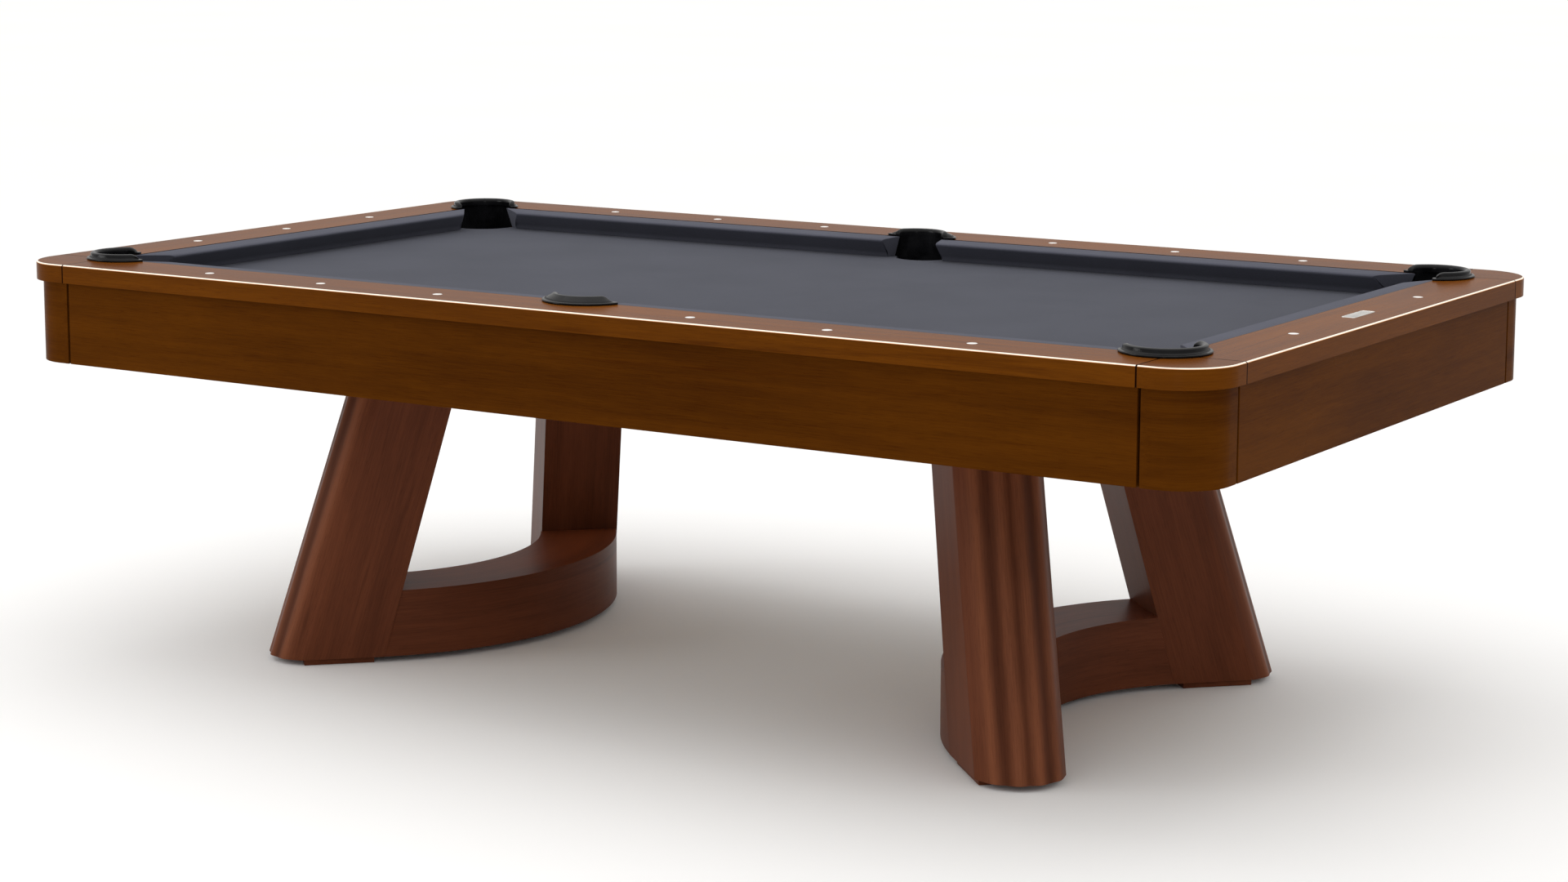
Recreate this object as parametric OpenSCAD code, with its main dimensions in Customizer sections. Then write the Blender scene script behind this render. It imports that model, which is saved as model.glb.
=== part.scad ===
// Eight-foot pool table: slate bed, six drop pockets, splayed fluted legs.
// Origin at the centre of the floor footprint, X along the table, Z up.

/* [Playing field] */
// Width between the cushion noses (the length is twice this)
play_w = 1117.6; // [1100:0.1:1140]
// Height of the rail tops above the floor
table_h = 802; // [785:1:820]
// Height of the rail tops above the bed
rail_rise = 43; // [42:0.5:45]
// Depth of a cushion from the rail wood to its nose
cushion_w = 50.2; // [49.5:0.1:51]
// Height of the cushion nose above the bed
nose_h = 36; // [35:0.5:37]
// Opening between the nose tips at a corner pocket
corner_mouth = 120; // [116:1:124]
// Opening between the nose tips at a side pocket
side_mouth = 130; // [126:1:132]

/* [Rails] */
// Width of the rail wood
rail_w = 130.5; // [128:0.5:134]
// Height of the rail's outer face
rail_face = 36; // [34:0.5:38]
// Radius of the table's corners in plan
corner_r = 102; // [98:1:106]
// Gap at the seams between rails and corner blocks
seam = 1.4; // [0.8:0.2:2.4]
// Radius on the rails' outer top edge
ease = 4; // [2:0.5:6]

/* [Aprons] */
// Height of an apron
apron_h = 162.5; // [150:0.5:175]
// Thickness of an apron
apron_t = 25; // [22:1:28]
// How far the aprons stand behind the rails
apron_set = 13; // [10:0.5:15]
// Width of the groove between an apron and a corner
groove = 5; // [3:0.5:7]

/* [Bed] */
// Thickness of the slate
slate_t = 25; // [22:1:27]
// How far the slate runs on past the cushion noses
slate_over = 80; // [79:0.5:81]
// Thickness of the cloth
cloth_t = 1; // [0.8:0.1:1.2]

/* [Pockets] */
// Inner radius of a corner pocket
corner_pocket_r = 57; // [56:0.5:58]
// Inner radius of a side pocket
side_pocket_r = 54; // [53:0.5:55]
// Width of a corner pocket rim from its inner wall to its outer edge
corner_rim_w = 20; // [19:0.5:22]
// Width of a side pocket rim from its inner wall to its outer edge
side_rim_w = 31; // [29:0.5:32]
// Depth of a pocket bucket under the slate
bucket_depth = 118; // [100:1:120]

/* [Base] */
// Thickness of a leg
leg_t = 166; // [160:1:170]
// Height of the ridges on a leg's front
flute_h = 3.6; // [2:0.2:4]
// Width of one ridge
flute_w = 41.5; // [40:0.5:41.5]
// Height of the stretchers' top above the floor
stretcher_top = 146; // [130:1:160]
// Width of a stretcher
stretcher_w = 165; // [155:1:165]
// Travel of a foot
foot_travel = 12; // [8:1:14]

/* [Hidden] */
$fn = 96;
play_l = 2*play_w;
nose_y = play_w/2;
nose_x = play_l/2;
wood_y = nose_y + cushion_w;
wood_x = nose_x + cushion_w;
out_y = wood_y + rail_w;
out_x = wood_x + rail_w;
bed_z = table_h - rail_rise;
slate_top = bed_z - cloth_t;
slate_bot = slate_top - slate_t;
slate_y = nose_y + slate_over;
slate_x = nose_x + slate_over;
rail_bot = table_h - rail_face;
apron_bot = rail_bot - apron_h;
apron_y = out_y - apron_set;
apron_x = out_x - apron_set;
apron_r = corner_r - apron_set;
lap = 24;
eps = 0.01;

// pockets: the centres, and the circles cut for them in the wood and the slate
corner_c = [nose_x + 32.4, nose_y + 32.2];
side_c = [0, nose_y + 29.2];
skirt_t = 4;
wood_clear = 1;
slate_corner_r = corner_pocket_r + 12;
slate_side_r = 60;
slate_side_c = [0, nose_y + 65.2];
side_bucket_c = [0, nose_y + 41.2];
bucket_r = 56;
bucket_t = 4;
rim_arc_corner = 232;
rim_arc_side = 152;
corner_rim_set = 8;
skirt_arc_corner = 224;
skirt_arc_side = 134;
rim_plate = 4.5;
roll_r = 7;
roll_z = 8;
rim_gap = 0.3;

// cushion ends: turn of the facing from the nose line, and its lean
corner_cut = 38;
side_cut = 76;
face_lean = 12;
corner_end = nose_x - corner_mouth/sqrt(2);
short_end = nose_y - corner_mouth/sqrt(2);
side_end = side_mouth/2;
cover_t = 1.2;
cover_fit = 1.5;

// frame under the slate
beam_h = 120;
beam_t = 38;
beam_z = slate_bot - beam_h;
beam_y = nose_y - 42.8;
beam_x = nose_x + 48.4;
board_t = 40;
board_x = [520, 800];
joist_top = beam_z + board_t;
seam_x = 398;
joist_w = 90;
leg_joist_x = [545, 760];

// legs: the upright slab lies along a diagonal, u outwards and v across
leg_c = [869.4, 500.6];
pad_t = 12;
leg_top = beam_z;
inner_u = -230;
inner_lean = 15.68;
front_u = -5;
front_lean = 17.54;
nose_r = 86;
edge_r = 25;
leg_bolt_u = [-352, -262];
leg_bolt_v = [-48, 48];

// stretchers: a ring about a point on the table's long centre line
ring_c = 1062.6;
ring_r = 490.6;
ring_bolt_z = [50, 108];

// levelling feet
foot_u = -140;
pad_u = 140;
pad_v = 150;
screw_r = 8;
spigot_r = 6;
fit = 0.05;
insert_r = 12;
insert_l = 40;
hex_af = 24;
hex_h = 8;
recess_r = 17;
recess_h = 10;
screw_l = recess_h + insert_l + foot_travel + 4;

// fasteners
bolt_r = 5;
bolt_head_r = 9;
washer_r = 14;
rail_bolt_in = 13;
rail_bolts_x = [220, 560, 900];
rail_bolts_y = [-300, 0, 300];
screw_head_r = 6;
sight_r = 9.5;
sight_t = 2.5;
sight_pitch = play_w/4;
plate_len = 96;
plate_wide = 26;

rail_wood = [0.50, 0.29, 0.15];
apron_wood = [0.36, 0.17, 0.05];
leg_wood = [0.24, 0.11, 0.07];
cloth_grey = [0.36, 0.37, 0.42];
pocket_black = [0.05, 0.05, 0.05];
frame_pine = [0.72, 0.55, 0.35];
slate_grey = [0.24, 0.26, 0.28];
steel = [0.55, 0.56, 0.58];

// ---- helpers ----

// The child as drawn for +X +Y, moved to another quarter
module quarter(sx, sy) {
    mirror([sx < 0 ? 1 : 0, 0, 0])
        mirror([0, sy < 0 ? 1 : 0, 0]) children();
}

// The child in all four quarters
module quarters() {
    for (sx = [-1, 1], sy = [-1, 1]) quarter(sx, sy) children();
}

// Everything beyond a plane through p that faces turn and leans down
module beyond(p, turn, lean, off = 0) {
    translate(p)
        rotate([0, 0, turn])
            rotate([0, lean, 0])
                translate([off, -150, -150]) cube([400, 300, 300]);
}

// A section in (across, up) run along X from x0 to x1
module along_x(x0, x1) {
    translate([x0, 0, 0])
        rotate([90, 0, 90]) linear_extrude(x1 - x0) children();
}

// The local frame of the leg in the +X +Y quarter
module at_leg() {
    translate([leg_c[0], leg_c[1], 0]) rotate([0, 0, 45]) children();
}

// The frame of a corner pocket, its X axis pointing out through the corner
module at_corner_pocket() {
    translate([corner_c[0], corner_c[1], 0]) rotate([0, 0, 45]) children();
}

// The frame of the side pocket at +Y, its X axis pointing out
module at_side_pocket() {
    translate([side_c[0], side_c[1], 0]) rotate([0, 0, 90]) children();
}

// Holes for the three pockets that meet the +Y long rail
module wood_bites() {
    for (sx = [-1, 1])
        translate([sx*corner_c[0], corner_c[1], bed_z - 50])
            cylinder(r = corner_pocket_r + skirt_t + wood_clear, h = 150);
    translate([side_c[0], side_c[1], bed_z - 50])
        cylinder(r = side_pocket_r + skirt_t + wood_clear, h = 150);
}

// A sight set flush in a rail top, or with clear its recess
module sight_at(x, y, clear = 0) {
    translate([x, y, table_h - sight_t])
        cylinder(r = sight_r, h = sight_t + clear);
}

// ---- rails ----

// Section of the rail wood: 0 at its inner edge, rail_w at its outer edge
module rail_section() {
    seat = rail_w - apron_set - apron_t;
    difference() {
        polygon([[0, bed_z], [seat, bed_z], [seat, rail_bot],
            [rail_w, rail_bot], [rail_w, table_h], [0, table_h]]);
        translate([rail_w - ease, table_h - ease]) difference() {
            square(ease + 1);
            circle(r = ease);
        }
    }
}

// Section of the wood that backs the cushion, measured towards the bed
module nib_section() {
    polygon([[-eps, 1.5], [22.5, 1.5], [23.6, 9.5], [14, 40.6],
        [8.6, 40.6], [8.6, 33], [-eps, 33]]);
}

module feather_section() {
    polygon([[0, 33], [8.4, 33], [8.4, 41], [0, 41]]);
}

// Triangular rubber with its nose at nose_h
module rubber_section() {
    polygon([[14, 40.6], [44.4, 38.3], [47.8, nose_h + 1.1],
        [cushion_w - 1.4, nose_h], [48.1, nose_h - 1.7],
        [26, 9.8], [23.6, 9.5]]);
}

// Outside of the covered cushion
module cover_outside() {
    polygon([[0, 42.4], [12, 42.1], [44.9, 39.7], [48.7, nose_h + 2.3],
        [cushion_w, nose_h], [49.4, nose_h - 2.6], [27.2, 8.9],
        [24.9, 0.1], [0, 0.1]]);
}

// Space inside the cover
module cover_inside() {
    polygon([[-1, 41.2], [12, 40.9], [44.5, 38.5], [47.9, nose_h + 1.3],
        [cushion_w - 1.2, nose_h], [48.3, nose_h - 1.8], [26.2, 9.6],
        [23.9, 1.3], [-1, 1.3]]);
}

// A cushion section along the +X half of the +Y rail, cut to its facings
module long_cushion(inset = 0) {
    difference() {
        translate([0, wood_y, bed_z])
            mirror([0, 1, 0]) along_x(side_end - 60, corner_end + 100) children();
        beyond([corner_end, nose_y, bed_z + nose_h], corner_cut - 90, face_lean, -inset);
        beyond([side_end, nose_y, bed_z + nose_h], 270 - side_cut, face_lean, -inset);
    }
}

// A cushion section along the +X rail, cut to its facings
module short_cushion(inset = 0) {
    difference() {
        translate([wood_x, 0, bed_z])
            rotate([0, 0, 90]) along_x(-short_end - 100, short_end + 100) children();
        beyond([nose_x, short_end, bed_z + nose_h], 180 - corner_cut, face_lean, -inset);
        beyond([nose_x, -short_end, bed_z + nose_h], corner_cut - 180, face_lean, -inset);
    }
}

// The long rail at +Y
module long_rail() {
    end = wood_x - seam/2;
    difference() {
        union() {
            translate([0, wood_y, 0]) along_x(-end, end) rail_section();
            for (sx = [0, 1])
                mirror([sx, 0, 0]) long_cushion(cover_fit) nib_section();
        }
        wood_bites();
        for (sx = [-1, 1], i = [1:3]) {
            sight_at(sx*i*sight_pitch, (wood_y + out_y)/2, 1);
            translate([sx*rail_bolts_x[i - 1], wood_y + rail_bolt_in, bed_z - 1])
                cylinder(r = bolt_r + fit, h = 31);
        }
    }
}

// The short rail at +X, with its middle sight or without it
module short_rail(middle) {
    end = wood_y - seam/2;
    difference() {
        union() {
            translate([wood_x, 0, 0])
                rotate([0, 0, 90]) mirror([0, 1, 0]) along_x(-end, end) rail_section();
            short_cushion(cover_fit) nib_section();
        }
        for (sy = [0, 1]) mirror([0, sy, 0]) wood_bites();
        for (i = [-1, 1]) sight_at((wood_x + out_x)/2, i*sight_pitch, 1);
        if (middle) sight_at((wood_x + out_x)/2, 0, 1);
        for (y = rail_bolts_y)
            translate([wood_x + rail_bolt_in, y, bed_z - 1])
                cylinder(r = bolt_r + fit, h = 31);
    }
}

// The block between two rails at +X +Y
module corner_block() {
    straight = rail_w - corner_r;
    c = [wood_x + straight, wood_y + straight];
    difference() {
        union() {
            translate([c[0], c[1], 0]) rotate_extrude(angle = 90) difference() {
                translate([-straight, 0]) rail_section();
                translate([-2*straight, 0]) square([2*straight, table_h + 1]);
            }
            translate([0, wood_y, 0]) along_x(wood_x + seam/2, c[0]) rail_section();
            translate([wood_x, 0, 0])
                rotate([0, 0, 90]) mirror([0, 1, 0])
                    along_x(wood_y + seam/2, c[1]) rail_section();
        }
        wood_bites();
    }
}

// ---- aprons ----

// A straight apron between two corners, its ends halved for the laps
module straight_apron(half, face) {
    end = half - groove/2;
    difference() {
        translate([-end, face - apron_t, apron_bot]) cube([2*end, apron_t, apron_h]);
        for (s = [-1, 1])
            translate([s*end - lap, face - apron_t - 1, apron_bot - 1])
                cube([2*lap, apron_t/2 + 1, apron_h + 2]);
    }
}

// The bent apron at +X +Y with a tongue behind each groove
module apron_corner() {
    c = [apron_x - apron_r, apron_y - apron_r];
    in = apron_t/2 - 0.2;
    translate([c[0], c[1], apron_bot])
        rotate_extrude(angle = 90)
            translate([apron_r - apron_t, 0]) square([apron_t, apron_h]);
    translate([wood_x + groove/2, apron_y - apron_t, apron_bot])
        cube([c[0] - wood_x - groove/2, apron_t, apron_h]);
    translate([apron_x - apron_t, wood_y + groove/2, apron_bot])
        cube([apron_t, c[1] - wood_y - groove/2, apron_h]);
    translate([wood_x - lap, apron_y - apron_t, apron_bot])
        cube([lap + groove, in, apron_h]);
    translate([apron_x - apron_t, wood_y - lap, apron_bot])
        cube([in, lap + groove, apron_h]);
}

// ---- bed ----

// Plan of the slate or cloth with its six pocket notches, from x0 to x1
module bed_plan(x0, x1) {
    difference() {
        translate([x0, -slate_y]) square([x1 - x0, 2*slate_y]);
        for (sx = [-1, 1], sy = [-1, 1])
            translate([sx*corner_c[0], sy*corner_c[1]]) circle(r = slate_corner_r);
        for (sy = [-1, 1])
            translate([0, sy*slate_side_c[1]]) circle(r = slate_side_r);
    }
}

// Where the rail bolts pass the slate
module rail_bolt_places() {
    for (sy = [-1, 1], sx = [-1, 1], x = rail_bolts_x)
        translate([sx*x, sy*(wood_y + rail_bolt_in), 0]) children();
    for (sx = [-1, 1], y = rail_bolts_y)
        translate([sx*(wood_x + rail_bolt_in), y, 0]) children();
}

// Where screws hold the slates down to the long beams
module slate_screw_places() {
    for (sy = [-1, 1], sx = [-1, 1], x = [120, 360, 436, 750, 1080])
        translate([sx*x, sy*(beam_y - beam_t/2), 0]) children();
}

module slate(x0, x1) {
    difference() {
        translate([0, 0, slate_bot]) linear_extrude(slate_t) bed_plan(x0, x1);
        rail_bolt_places()
            translate([0, 0, slate_bot - 1]) cylinder(r = bolt_r + 2, h = slate_t + 2);
        slate_screw_places() {
            translate([0, 0, slate_bot - 1]) cylinder(r = 3.2, h = slate_t + 2);
            translate([0, 0, slate_top - 5]) cylinder(r = screw_head_r + 0.5, h = 6);
        }
    }
}

module bed_cloth() {
    color(cloth_grey) difference() {
        translate([0, 0, slate_top]) linear_extrude(cloth_t) bed_plan(-slate_x, slate_x);
        rail_bolt_places()
            translate([0, 0, slate_top - 1]) cylinder(r = bolt_r + 2, h = cloth_t + 2);
    }
}

// ---- pockets ----

// Points of an arc about c, from angle a0 to a1
function arc(c, r, a0, a1, n = 12) =
    [for (i = [0:n]) c + r*[cos(a0 + (a1 - a0)*i/n), sin(a0 + (a1 - a0)*i/n)]];

// Section of a rim above the rail: inner wall, roll, slope and flat edge
module rim_section(w) {
    lip = rim_plate/2;
    polygon(concat(
        [[0, rim_gap]],
        arc([roll_r, roll_z], roll_r, 180, 40, 16),
        [[w - 4.5, rim_plate + 0.6]],
        arc([w - lip, lip], lip, 90, -60, 8)));
}

// Rim with its skirt, its own X axis pointing out of the table; set moves the rim in over the skirt
module pocket_rim(r, w, set, rim_arc, skirt_arc) {
    translate([-set, 0, 0]) rotate([0, 0, -rim_arc/2]) rotate_extrude(angle = rim_arc)
        translate([r, table_h]) rim_section(w);
    rotate([0, 0, -skirt_arc/2]) rotate_extrude(angle = skirt_arc)
        translate([r + 0.4, slate_bot + 1])
            square([skirt_t - 0.4, table_h - slate_bot + 2]);
}

module corner_rim() {
    at_corner_pocket() pocket_rim(
        corner_pocket_r, corner_rim_w, corner_rim_set, rim_arc_corner, skirt_arc_corner);
}

module side_rim() {
    at_side_pocket() pocket_rim(side_pocket_r, side_rim_w, 0, rim_arc_side, skirt_arc_side);
}

// A cup with a rim that screws up against the slate
module bucket() {
    translate([0, 0, slate_bot - bucket_depth]) difference() {
        union() {
            cylinder(r = bucket_r + bucket_t, h = bucket_depth);
            translate([0, 0, bucket_depth - bucket_t])
                cylinder(r = bucket_r + 14, h = bucket_t);
        }
        translate([0, 0, bucket_t]) cylinder(r = bucket_r, h = bucket_depth);
    }
}

module pocket_buckets() {
    color(pocket_black) {
        quarters() translate([corner_c[0], corner_c[1], 0]) bucket();
        for (sy = [-1, 1]) translate([0, sy*side_bucket_c[1], 0]) bucket();
    }
}

// ---- frame ----

module frame_long_beams() {
    color(frame_pine) for (sy = [-1, 1]) difference() {
        translate([-beam_x, sy*(beam_y - beam_t/2) - beam_t/2, beam_z])
            cube([2*beam_x, beam_t, beam_h]);
        slate_screw_places()
            translate([0, 0, slate_bot - 35]) cylinder(r = 2.4, h = 36);
    }
}

module frame_end_beams() {
    color(frame_pine) for (sx = [-1, 1])
        translate([sx*(beam_x - beam_t/2) - beam_t/2, beam_t - beam_y, beam_z])
            cube([beam_t, 2*(beam_y - beam_t), beam_h]);
}

module joist(x, w, bottom) {
    translate([x - w/2, beam_t - beam_y, bottom])
        cube([w, 2*(beam_y - beam_t), slate_bot - bottom]);
}

module frame_joists() {
    color(frame_pine) {
        joist(0, beam_t, joist_top);
        for (sx = [-1, 1]) {
            joist(sx*seam_x, joist_w, joist_top);
            for (x = leg_joist_x) joist(sx*x, beam_t, joist_top);
        }
    }
}

// Bolts from the boards down into one leg
module leg_bolt_places() {
    at_leg() for (u = leg_bolt_u, v = leg_bolt_v) translate([u, v, 0]) children();
}

module leg_boards() {
    color(frame_pine) for (sx = [0, 1]) mirror([sx, 0, 0]) difference() {
        translate([board_x[0], beam_t - beam_y, beam_z])
            cube([board_x[1] - board_x[0], 2*(beam_y - beam_t), board_t]);
        for (sy = [0, 1]) mirror([0, sy, 0]) leg_bolt_places()
            translate([0, 0, beam_z - 1]) cylinder(r = bolt_r + 0.5, h = board_t + 2);
    }
}

// ---- legs ----

// Depth of a leg's front behind its foremost line, at v across it
function corner_u() = -nose_r + sqrt(pow(nose_r - edge_r, 2) - pow(leg_t/2 - edge_r, 2));
function turn_v() = (leg_t/2 - edge_r)*nose_r/(nose_r - edge_r);
function front(v) = abs(v) < turn_v()
    ? sqrt(nose_r*nose_r - v*v) - nose_r
    : corner_u() + sqrt(max(0, edge_r*edge_r - pow(abs(v) - leg_t/2 + edge_r, 2)));
function flute(v) = flute_h/2*(cos(360*(abs(v)/flute_w - 0.5)) - 1)
    *min(1, max(0, (leg_t/2 - abs(v))/8));

// Plan of the slab with its fluted front
module leg_plan() {
    steps = 96;
    squash = cos(front_lean);
    across = [for (i = [0:steps]) leg_t/2*sin(180*i/steps - 90)];
    polygon(concat(
        [for (v = across) [squash*(front(v) + flute(v)), v]],
        [[-450, leg_t/2], [-450, -leg_t/2]]));
}

// Slab from the floor pad to the frame, leaning inwards at both edges
module leg() {
    at_leg() difference() {
        intersection() {
            translate([front_u, 0, pad_t]) rotate([0, -front_lean, 0])
                translate([0, 0, -250]) linear_extrude(1100) leg_plan();
            rotate([90, 0, 0]) translate([0, 0, -leg_t/2]) linear_extrude(leg_t)
                polygon([[inner_u, pad_t], [60, pad_t], [60, leg_top],
                    [inner_u - (leg_top - pad_t)*tan(inner_lean), leg_top]]);
        }
        translate([foot_u, 0, pad_t - 1]) cylinder(r = recess_r, h = recess_h + 1);
        translate([foot_u, 0, pad_t]) cylinder(r = insert_r, h = recess_h + insert_l);
        translate([foot_u, 0, pad_t]) cylinder(r = screw_r + 1, h = screw_l + 6);
        for (u = leg_bolt_u, v = leg_bolt_v)
            translate([u, v, leg_top - 60]) cylinder(r = bolt_r + fit, h = 61);
        for (z = ring_bolt_z) ring_bolt(z, bolt_r + fit);
    }
}

// Bolt hole square to the leg's inner face, into the stretcher's end
module ring_bolt(z, r) {
    translate([inner_u - (z - pad_t)*tan(inner_lean), 0, z])
        rotate([0, 90 - inner_lean, 0])
            translate([0, 0, -60]) cylinder(r = r, h = 110);
}

// ---- stretchers ----

// Quarter ring between the two legs at +X
module stretcher() {
    difference() {
        translate([ring_c, 0, pad_t]) rotate([0, 0, 110]) rotate_extrude(angle = 140)
            translate([ring_r - stretcher_w/2, 0])
                square([stretcher_w, stretcher_top - pad_t]);
        for (sy = [0, 1]) mirror([0, sy, 0]) at_leg() {
            translate([inner_u, 0, pad_t]) rotate([0, -inner_lean, 0])
                translate([0, -400, -200]) cube([600, 800, 600]);
            for (z = ring_bolt_z) ring_bolt(z, bolt_r + fit);
        }
    }
}

// ---- feet ----

module foot_pad() {
    color(leg_wood) at_leg() difference() {
        translate([foot_u - pad_u/2, -pad_v/2, 0]) cube([pad_u, pad_v, pad_t]);
        translate([foot_u, 0, 3]) cylinder(r = spigot_r + fit, h = pad_t);
    }
}

module leveller_screw() {
    color(steel) at_leg() translate([foot_u, 0, 0]) {
        translate([0, 0, 4]) cylinder(r = spigot_r, h = pad_t - 4 + eps);
        translate([0, 0, pad_t]) cylinder(d = hex_af/cos(30), h = hex_h, $fn = 6);
        translate([0, 0, pad_t]) cylinder(r = screw_r, h = screw_l);
    }
}

module leveller_inserts() {
    color(steel) quarters() at_leg() translate([foot_u, 0, pad_t + recess_h])
        difference() {
            cylinder(r = insert_r, h = insert_l);
            translate([0, 0, -1]) cylinder(r = screw_r + fit, h = insert_l + 2);
        }
}

// ---- trim and fasteners ----

module cushion_cover_long() {
    difference() {
        long_cushion() cover_outside();
        long_cushion(cover_t) cover_inside();
    }
}

module cushion_cover_short() {
    difference() {
        short_cushion() cover_outside();
        short_cushion(cover_t) cover_inside();
    }
}

// A cushion section in all six places
module six_cushions(inset) {
    quarters() long_cushion(inset) children();
    for (sx = [0, 1]) mirror([sx, 0, 0]) short_cushion(inset) children();
}

module sights() {
    color("ivory") {
        for (sx = [-1, 1], sy = [-1, 1], i = [1:3])
            sight_at(sx*i*sight_pitch, sy*(wood_y + out_y)/2);
        for (sx = [-1, 1], i = [-1, 1]) sight_at(sx*(wood_x + out_x)/2, i*sight_pitch);
        sight_at(-(wood_x + out_x)/2, 0);
    }
}

module nameplate() {
    r = 5;
    color("gainsboro") translate([(wood_x + out_x)/2, 0, table_h])
        linear_extrude(0.8) {
            square([plate_wide - 2*r, plate_len], center = true);
            square([plate_wide, plate_len - 2*r], center = true);
            for (sx = [-1, 1], sy = [-1, 1])
                translate([sx*(plate_wide/2 - r), sy*(plate_len/2 - r)]) circle(r = r);
        }
}

// Bolt with a hexagon head and a washer, its head below z = 0
module bolt(len) {
    cylinder(r = bolt_r, h = len);
    translate([0, 0, -2]) cylinder(r = washer_r, h = 2);
    translate([0, 0, -9]) cylinder(r = bolt_head_r, h = 7 + eps, $fn = 6);
}

module rail_bolts() {
    color(steel) rail_bolt_places() translate([0, 0, slate_bot]) bolt(53);
}

module base_bolts() {
    color(steel) quarters() {
        leg_bolt_places() translate([0, 0, beam_z + board_t])
            rotate([180, 0, 0]) bolt(95);
        at_leg() for (z = ring_bolt_z) ring_bolt(z, bolt_r);
    }
}

module slate_screws() {
    color(steel) slate_screw_places() {
        translate([0, 0, slate_bot - 30]) cylinder(r = 2.4, h = 50);
        translate([0, 0, slate_top - 5]) cylinder(r = screw_head_r, h = 4);
    }
}

// Angle bracket between the underside of a rail and an apron's back
module angle_bracket() {
    w = 40;
    t = 3;
    translate([-w/2, -42, bed_z - t]) cube([w, 42, t]);
    translate([-w/2, -t, bed_z - 55]) cube([w, t, 55]);
}

module rail_and_apron_brackets() {
    color(steel) {
        for (sy = [0, 1], x = [-1020, -680, -340, 340, 680, 1020])
            mirror([0, sy, 0]) translate([x, apron_y - apron_t, 0]) angle_bracket();
        for (sx = [0, 1], y = [-400, 0, 400])
            mirror([sx, 0, 0]) translate([apron_x - apron_t, y, 0])
                rotate([0, 0, -90]) angle_bracket();
        quarters() {
            translate([wood_x - 28, wood_y + 60, bed_z - 3]) cube([56, 26, 3]);
            translate([wood_x + 60, wood_y - 28, bed_z - 3]) cube([26, 56, 3]);
        }
    }
}

// ---- nodes ----

color(rail_wood) mirror([0, 1, 0]) long_rail();  // rail_front
color(rail_wood) long_rail();  // rail_back
color(rail_wood) mirror([1, 0, 0]) short_rail(true);  // rail_left
color(rail_wood) short_rail(false);  // rail_right

color(rail_wood) quarter(-1, -1) corner_block();  // corner_block_front_left
color(rail_wood) quarter(1, -1) corner_block();  // corner_block_front_right
color(rail_wood) quarter(-1, 1) corner_block();  // corner_block_back_left
color(rail_wood) quarter(1, 1) corner_block();  // corner_block_back_right

color(apron_wood) mirror([0, 1, 0]) straight_apron(wood_x, apron_y);  // apron_front
color(apron_wood) straight_apron(wood_x, apron_y);  // apron_back
color(apron_wood) rotate([0, 0, 90]) straight_apron(wood_y, apron_x);  // apron_left
color(apron_wood) rotate([0, 0, -90]) straight_apron(wood_y, apron_x);  // apron_right

color(apron_wood) quarter(-1, -1) apron_corner();  // apron_corner_front_left
color(apron_wood) quarter(1, -1) apron_corner();  // apron_corner_front_right
color(apron_wood) quarter(-1, 1) apron_corner();  // apron_corner_back_left
color(apron_wood) quarter(1, 1) apron_corner();  // apron_corner_back_right

color(cloth_grey) quarter(-1, -1) cushion_cover_long();  // cushion_cloth_front_left
color(cloth_grey) quarter(1, -1) cushion_cover_long();  // cushion_cloth_front_right
color(cloth_grey) quarter(-1, 1) cushion_cover_long();  // cushion_cloth_back_left
color(cloth_grey) quarter(1, 1) cushion_cover_long();  // cushion_cloth_back_right
color(cloth_grey) mirror([1, 0, 0]) cushion_cover_short();  // cushion_cloth_left
color(cloth_grey) cushion_cover_short();  // cushion_cloth_right

color("black") six_cushions(cover_fit) rubber_section();  // cushion_rubbers
color(rail_wood) six_cushions(cover_fit) feather_section();  // feather_strips

color(slate_grey) slate(-slate_x, -seam_x - 0.1);  // slate_left
color(slate_grey) slate(0.1 - seam_x, seam_x - 0.1);  // slate_centre
color(slate_grey) slate(seam_x + 0.1, slate_x);  // slate_right
bed_cloth();

frame_long_beams();
frame_end_beams();
frame_joists();
leg_boards();

color(leg_wood) quarter(-1, -1) leg();  // leg_front_left
color(leg_wood) quarter(1, -1) leg();  // leg_front_right
color(leg_wood) quarter(-1, 1) leg();  // leg_back_left
color(leg_wood) quarter(1, 1) leg();  // leg_back_right
color(leg_wood) mirror([1, 0, 0]) stretcher();  // stretcher_left
color(leg_wood) stretcher();  // stretcher_right

quarter(-1, -1) foot_pad();  // foot_pad_front_left
quarter(1, -1) foot_pad();  // foot_pad_front_right
quarter(-1, 1) foot_pad();  // foot_pad_back_left
quarter(1, 1) foot_pad();  // foot_pad_back_right
quarter(-1, -1) leveller_screw();  // leveller_screw_front_left
quarter(1, -1) leveller_screw();  // leveller_screw_front_right
quarter(-1, 1) leveller_screw();  // leveller_screw_back_left
quarter(1, 1) leveller_screw();  // leveller_screw_back_right
leveller_inserts();

color(pocket_black) quarter(-1, -1) corner_rim();  // pocket_rim_front_left
color(pocket_black) quarter(1, -1) corner_rim();  // pocket_rim_front_right
color(pocket_black) quarter(-1, 1) corner_rim();  // pocket_rim_back_left
color(pocket_black) quarter(1, 1) corner_rim();  // pocket_rim_back_right
color(pocket_black) mirror([0, 1, 0]) side_rim();  // pocket_rim_side_front
color(pocket_black) side_rim();  // pocket_rim_side_back
pocket_buckets();

sights();
nameplate();
rail_bolts();
base_bolts();
slate_screws();
rail_and_apron_brackets();
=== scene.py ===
import math

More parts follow.
